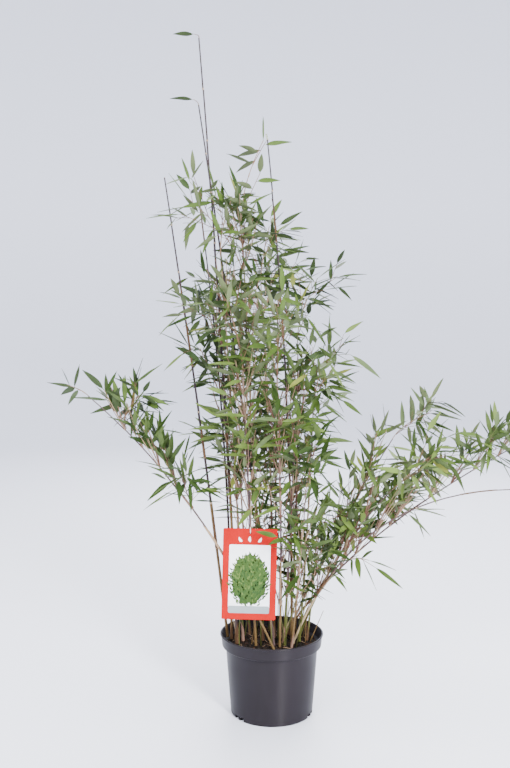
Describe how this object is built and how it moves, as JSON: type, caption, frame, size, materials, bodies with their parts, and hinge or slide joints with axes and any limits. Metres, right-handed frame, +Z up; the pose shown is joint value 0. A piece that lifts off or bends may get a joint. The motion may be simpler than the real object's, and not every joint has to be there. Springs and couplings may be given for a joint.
{
  "type": "potted bamboo",
  "caption": "Leafy clump of slender bamboo canes, upright in the middle and arching to both sides, in a round nursery pot of compost with a hanging label card.",
  "frame": {"origin": "centre of the pot's flat underside", "axes": "+Z up; -Y towards the side that the label faces; +X to the right as seen from that side"},
  "size_m": [1.0764, 0.5565, 1.4015],
  "materials": {
    "pot": "dark charcoal, satin",
    "soil": "dark moist compost, rough",
    "cane": "tan and purple-brown canes with papery straw sheaths, satin",
    "leaf": "fresh green leaves, greyer beneath, satin",
    "label": "printed card, glossy",
    "tie": "pale, satin"
  },
  "bodies": {
    "root": {"pot": "pot", "soil": "soil", "label": "label", "label_tie": "tie", "cane_back": "cane", "cane_back_left": "cane", "cane_centre": "cane", "cane_front": "cane", "cane_label": "cane", "cane_left_arching": "cane", "cane_left_bare": "cane", "cane_left_thin": "cane", "cane_middle": "cane", "cane_right_bare": "cane", "cane_right_branching": "cane", "cane_right_flat": "cane", "cane_right_front": "cane", "cane_right_inner": "cane", "cane_right_low": "cane", "cane_right_outer": "cane", "cane_right_rising": "cane", "cane_right_short": "cane", "cane_right_upper": "cane", "cane_second": "cane", "cane_tallest": "cane", "cane_upper_left": "cane", "leaves_back_1": "leaf", "leaves_back_left_1": "leaf", "leaves_back_left_2": "leaf", "leaves_centre_1": "leaf", "leaves_front_1": "leaf", "leaves_front_2": "leaf", "leaves_label_1": "leaf", "leaves_left_arching_1": "leaf", "leaves_left_arching_2": "leaf", "leaves_left_arching_3": "leaf", "leaves_left_thin_1": "leaf", "leaves_middle_1": "leaf", "leaves_middle_2": "leaf", "leaves_right_branching_1": "leaf", "leaves_right_flat_1": "leaf", "leaves_right_flat_2": "leaf", "leaves_right_flat_3": "leaf", "leaves_right_flat_4": "leaf", "leaves_right_flat_5": "leaf", "leaves_right_front_1": "leaf", "leaves_right_inner_1": "leaf", "leaves_right_low_1": "leaf", "leaves_right_low_2": "leaf", "leaves_right_outer_1": "leaf", "leaves_right_outer_2": "leaf", "leaves_right_rising_1": "leaf", "leaves_right_rising_2": "leaf", "leaves_right_short_1": "leaf", "leaves_right_upper_1": "leaf", "leaves_right_upper_2": "leaf", "leaves_second_1": "leaf", "leaves_tallest_1": "leaf", "leaves_upper_left_1": "leaf", "leaves_upper_left_2": "leaf"}
  },
  "joints": []
}
